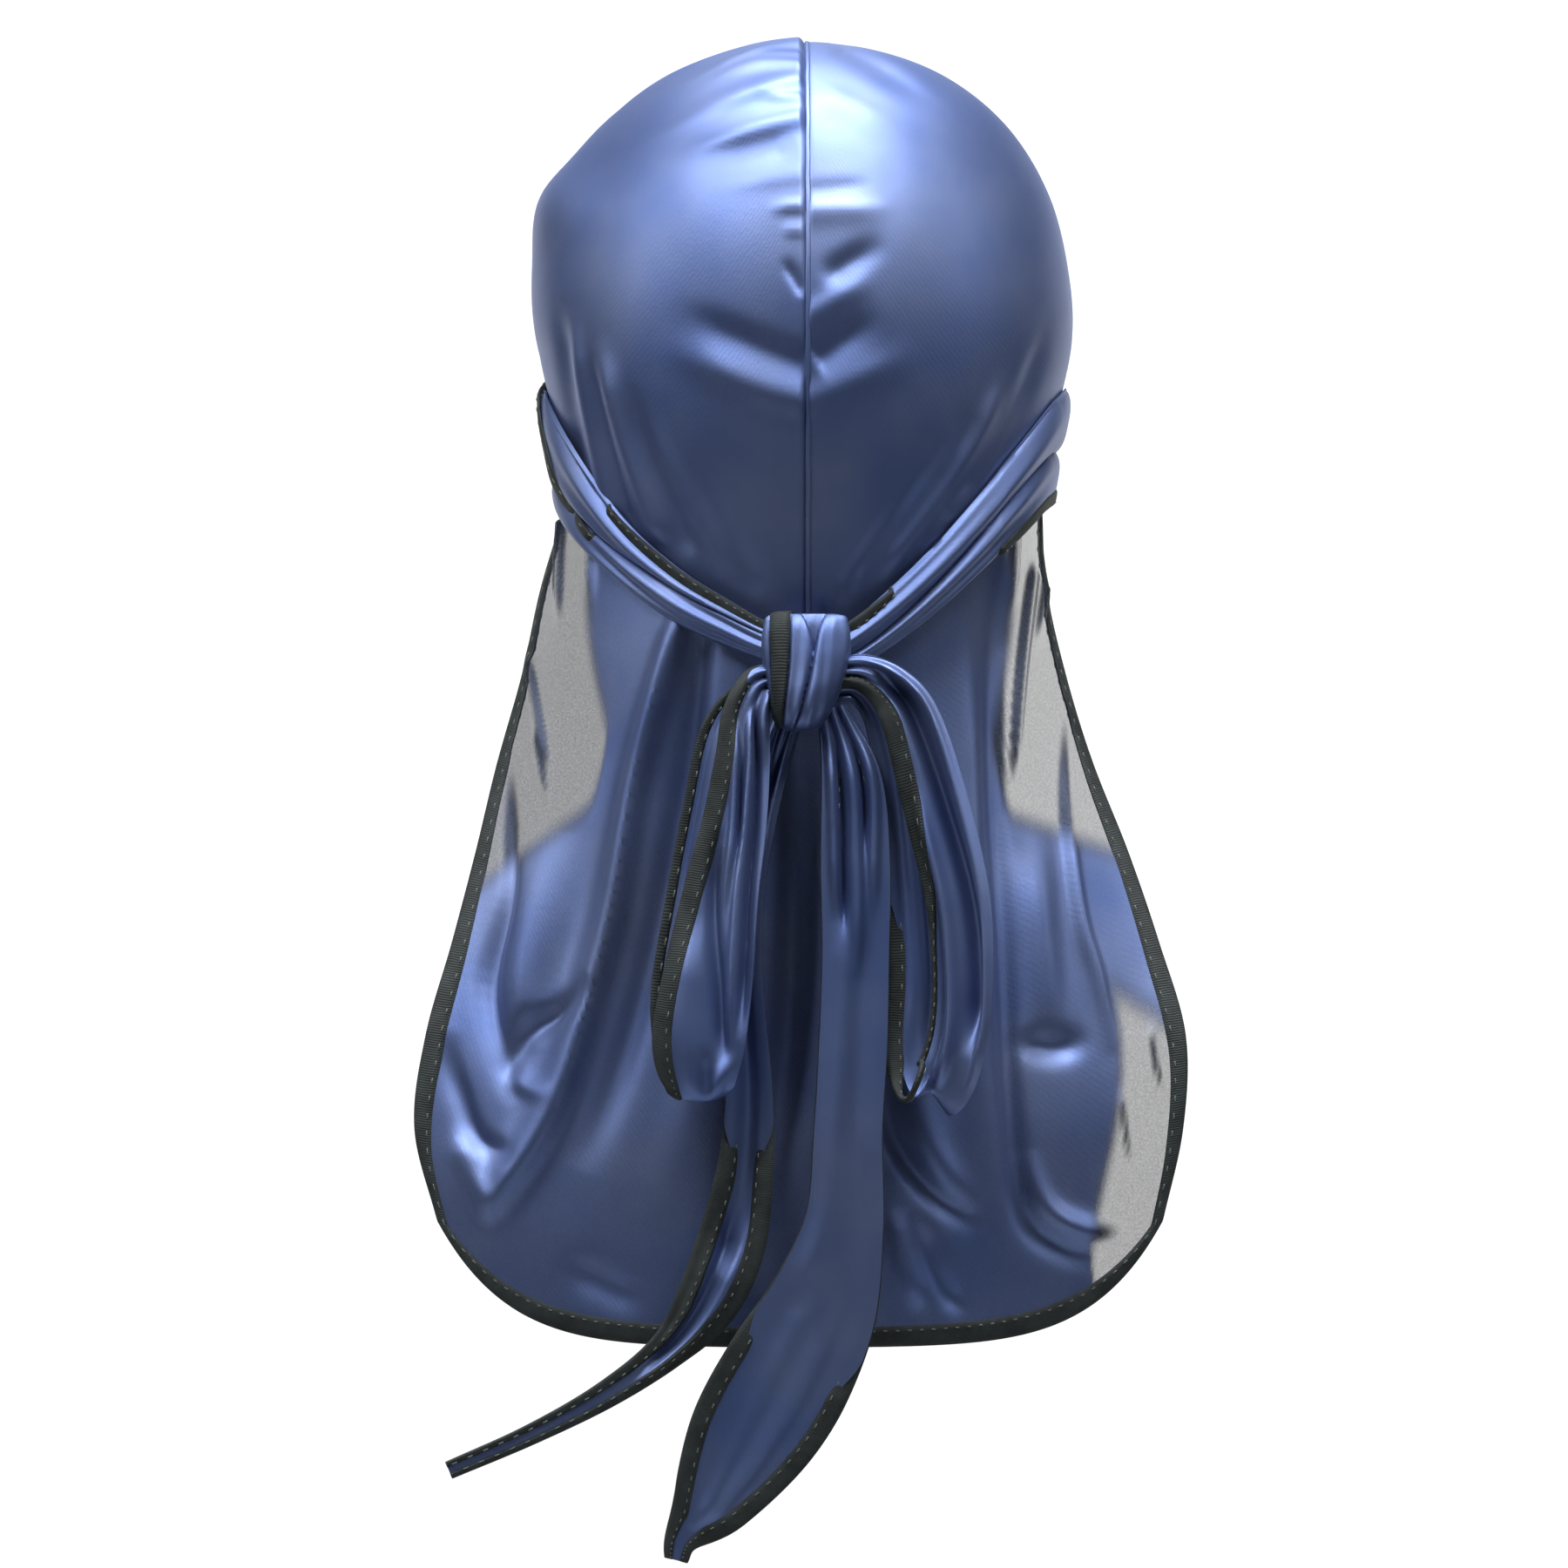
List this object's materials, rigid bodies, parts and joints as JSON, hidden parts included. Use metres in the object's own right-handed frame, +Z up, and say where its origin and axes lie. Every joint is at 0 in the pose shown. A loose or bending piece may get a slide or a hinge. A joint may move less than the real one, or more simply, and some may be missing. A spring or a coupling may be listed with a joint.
{
  "type": "durag",
  "caption": "Satin head wrap with a seamed crown, a hanging cape and ties knotted in a bow at the nape.",
  "frame": {"origin": "inside of the crown at its top, where it bears on the top of the head", "axes": "+Z up, +Y the way the wearer faces, +X to the wearer's right"},
  "size_m": [0.2212, 0.2174, 0.4366],
  "materials": {
    "satin": "navy satin, smooth side out",
    "sheer_satin": "the same navy satin in one layer, slightly see-through",
    "tape": "black-green binding tape, stitched"
  },
  "bodies": {
    "root": {"crown_left": "satin", "crown_right": "satin", "centre_seam": "satin", "cape": "sheer_satin", "knot": "satin", "tie_left": "satin", "tie_right": "satin", "loop_left": "satin", "loop_right": "satin", "tail_left": "satin", "tail_right": "satin", "brow_tape": "tape", "cape_tape": "tape", "tie_left_tape": "tape", "tie_right_tape": "tape", "loop_left_outer_tape": "tape", "loop_right_inner_tape": "tape", "tail_left_inner_tape": "tape", "tail_left_outer_tape": "tape", "tail_right_inner_tape": "tape", "tail_right_outer_tape": "tape"}
  },
  "joints": []
}
